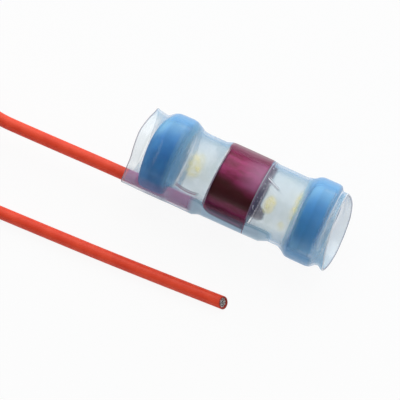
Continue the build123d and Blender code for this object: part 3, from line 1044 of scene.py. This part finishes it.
def make_free_strands(line, material):
    """The strands that show in the lead's oblique cut."""
    uncut_length, lay_turns, raggedness = 2.2, 0.16, 0.05
    mesh = grown(
        "cut_strands",
        strand_bundle_tree(material),
        Strand_Radius=STRAND_RADIUS * MM,
        Pitch=STRAND_PITCH * MM,
        Length=uncut_length * MM,
        Turns_of_Lay=lay_turns,
    )
    direction = line[-1] - line[-2]
    direction /= np.linalg.norm(direction)
    level, rising = level_and_rising(direction)
    aside, up, along = read_points(mesh).T
    ragged = raggedness * np.sin(9 * np.arctan2(up, aside) + 7 * np.hypot(aside, up))
    cut = np.minimum(ragged, 0.0) - up * math.tan(CUT_ANGLE) - STRAND_RECESS / math.cos(CUT_ANGLE)
    along = np.minimum(along - STRAND_LENGTH, cut)
    write_points(mesh, line[-1] + np.outer(aside, level) + np.outer(up, rising) + np.outer(along, direction))
    return add_object("cut_strands", mesh)


def tie_loop():
    """The tie's strip once round the coil's turns, as rings of points across it."""
    strip = np.linspace(-0.88, 0.88, 13)
    wire_core = 0.06 * bell(strip, 0, 0.16)
    thin_edge = 0.05 * (np.abs(strip) > 0.85)
    thickness = TIE_WALL + wire_core - thin_edge
    half_height = TIE_HEIGHT / 2
    rings = []
    for (right, upper), start in (((1, 1), 0), ((-1, 1), 90), ((-1, -1), 180), ((1, -1), 270)):
        for angle in np.radians(start + np.linspace(0, 90, 7)):
            out_x, out_z = math.cos(angle), math.sin(angle)
            x = TIE_X + right * (TIE_HALF_WIDTH - TIE_CORNER) + TIE_CORNER * out_x
            z = TIE_BOTTOM + half_height + upper * (half_height - TIE_CORNER) + TIE_CORNER * out_z
            inner = [(x, COIL_Y + side, z) for side in strip]
            outer = [
                (x + out_x * wall, COIL_Y + side, z + out_z * wall)
                for side, wall in zip(strip, thickness)
            ]
            rings.append(inner + outer[::-1])
    return rings


def tie_tail():
    """The strip's two ends, twisted round each other and pressed flat outwards."""
    stations, length, half_turns = 61, 3.70, 3.5
    upper_half = ((0.40, 0.05), (0.30, 0.09), (0.0, 0.12), (-0.30, 0.09), (-0.40, 0.05))
    section = [*upper_half, *((-wide, -thin) for wide, thin in upper_half)]
    start_x = TIE_X + 0.55
    height = TIE_BOTTOM + TIE_HEIGHT + TIE_WALL + 0.20
    rings = []
    for number in range(stations):
        share = number / (stations - 1)
        twist = half_turns * math.pi * share
        size = 0.80 + 0.20 * math.cos(2 * twist)
        middle = height + 0.06 * math.sin(3 * share)
        ring = []
        for wide, thin in section:
            aside = (wide * math.cos(twist) - thin * math.sin(twist)) * size
            lift = (wide * math.sin(twist) + thin * math.cos(twist)) * size
            ring.append((start_x - length * share, COIL_Y + aside, middle + lift))
        rings.append(ring)
    return rings


def make_tie(material):
    """A twist tie: a flat strip with a wire core round the coil, and its twisted tail."""
    loop, tail = tie_loop(), tie_tail()
    points = [point for ring in loop + tail for point in ring]
    faces = grid_faces(len(loop), len(loop[0]), True, flip=True)
    base = len(loop) * len(loop[0])
    faces += [tuple(base + corner for corner in face) for face in tube_faces(len(tail), len(tail[0]))]
    tie = add_piece("twist_tie", points, faces, material, smooth=False)
    shape = bmesh.new()
    shape.from_mesh(tie.data)
    bmesh.ops.recalc_face_normals(shape, faces=shape.faces)
    shape.to_mesh(tie.data)
    shape.free()
    return tie


def make_floor():
    """A plain pale floor that the camera sees nearly white, with the object's shadow on it."""
    paint, whiteness, reach = 0.86, 0.92, 900.0
    shader = Shader(bpy.data.materials.new("pale_floor"))
    rays = ("Is Camera Ray", "Is Glossy Ray", "Is Transmission Ray")
    seen = sum(shader.node("ShaderNodeLightPath", output=ray) for ray in rays).clamp()
    plain = shader.node("ShaderNodeBsdfDiffuse", None, {"Color": grey(paint)})
    white = shader.node("ShaderNodeEmission", None, {"Color": grey(1.0), "Strength": 1.0})
    surface = shader.node("ShaderNodeMixShader", None, {0: whiteness * seen, 1: plain, 2: white})
    material = shader.finish(surface)
    corners = [(-reach, -reach, 0), (reach, -reach, 0), (reach, reach, 0), (-reach, reach, 0)]
    floor = add_piece("floor", corners, [(0, 1, 2, 3)], material, smooth=False)


def add_light(name, place, aim, size, power):
    """A soft light of a width and height in millimetres."""
    lamp = bpy.data.lights.new(name, "AREA")
    lamp.shape = "RECTANGLE"
    lamp.size, lamp.size_y = size[0] * MM, size[1] * MM
    lamp.energy = power
    holder = add_object(name, lamp)
    holder.location = Vector(place) * MM
    holder.rotation_euler = (Vector(aim) - Vector(place)).to_track_quat("-Z", "Y").to_euler()


def light_studio():
    """A light tent: bright above and behind the sleeve, darker low in front of it."""
    brightest, darkest, span = (0, 0.45, 0.90), 0.16, 0.50
    tent_colour = (0.96, 0.98, 1.0, 1)
    world = bpy.data.worlds.new("light_tent")
    shader = Shader(world)
    heading = shader.node("ShaderNodeTexCoord", output="Generated")
    level = darkest + span * shader.dot(heading, brightest).rise(0.0, 0.85)
    seen = shader.node("ShaderNodeLightPath", output="Is Camera Ray")
    level = level + seen * (1.0 - level)
    light = shader.node("ShaderNodeBackground", None, {"Color": tent_colour, "Strength": level})
    shader.finish(light, "ShaderNodeOutputWorld")
    bpy.context.scene.world = world
    add_light("back_softbox", (-10, 190, 170), (-4, -4, 2), (330, 330), 0.50)
    add_light("front_softbox", (-30, -200, 20), (-4, -6, 2), (200, 40), 0.045)


def aim_camera():
    """The photograph's view: 72.7 degrees above the horizon and 25.4 round towards the open end."""
    elevation, azimuth = math.radians(72.7), math.radians(25.4)
    distance, pixels_a_millimetre = 110.0, 12.2
    centre_pixel, frame_pixels = (239.6, 187.8), 400
    sensor_width, nearest, farthest = 36, 10, 5000
    right = Vector((math.cos(azimuth), math.sin(azimuth), 0))
    ahead = Vector((
        -math.sin(azimuth) * math.cos(elevation),
        math.cos(azimuth) * math.cos(elevation),
        -math.sin(elevation),
    ))
    up = right.cross(ahead)
    middle = frame_pixels / 2
    aim = Vector((0, 0, AXIS_HEIGHT))
    aim -= (centre_pixel[0] - middle) / pixels_a_millimetre * right
    aim -= (middle - centre_pixel[1]) / pixels_a_millimetre * up
    lens = bpy.data.cameras.new("camera")
    lens.sensor_width = sensor_width
    lens.lens = sensor_width * pixels_a_millimetre * distance / frame_pixels
    lens.clip_start, lens.clip_end = nearest * MM, farthest * MM
    camera = add_object("camera", lens)
    camera.location = (aim - distance * ahead) * MM
    camera.rotation_euler = ahead.to_track_quat("-Z", "Y").to_euler()
    bpy.context.scene.camera = camera


def dress(node, material):
    """A CAD node keeps its shape and gets a material."""
    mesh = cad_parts[node].data
    mesh.materials.clear()
    mesh.materials.append(material)


bpy.context.scene.view_settings.view_transform = "Standard"
aim_camera()
light_studio()
make_floor()

film = make_film(film_material())
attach(film, "root")
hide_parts("heat_shrink_sleeve")

ring_nodes = ("sealing_ring_lead_side", "sealing_ring_far_side")
for ring, node in zip(make_sealing_rings(sealing_ring_material()), ring_nodes):
    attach(ring, "root")
    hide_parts(node)
solder_band = make_solder_band(solder_material())
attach(solder_band, "root")
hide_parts("solder_ring")
strand_finish = strand_material()
dress("strands_in_sleeve", strand_finish)
tie = make_tie(tie_material())
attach(tie, "root")
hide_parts("coil_tie")

lead_line = route_line(lead_route(), 12)
insulation = make_insulation(lead_line, insulation_material())
free_strands = make_free_strands(lead_line, strand_finish)
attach(free_strands, "root")
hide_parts("strands_free_end")
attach(insulation, "root")
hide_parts("lead_out", "lead_return", "lead_coil")
lead_route()[0][1] * MM
lead_route()[0][2] * MM
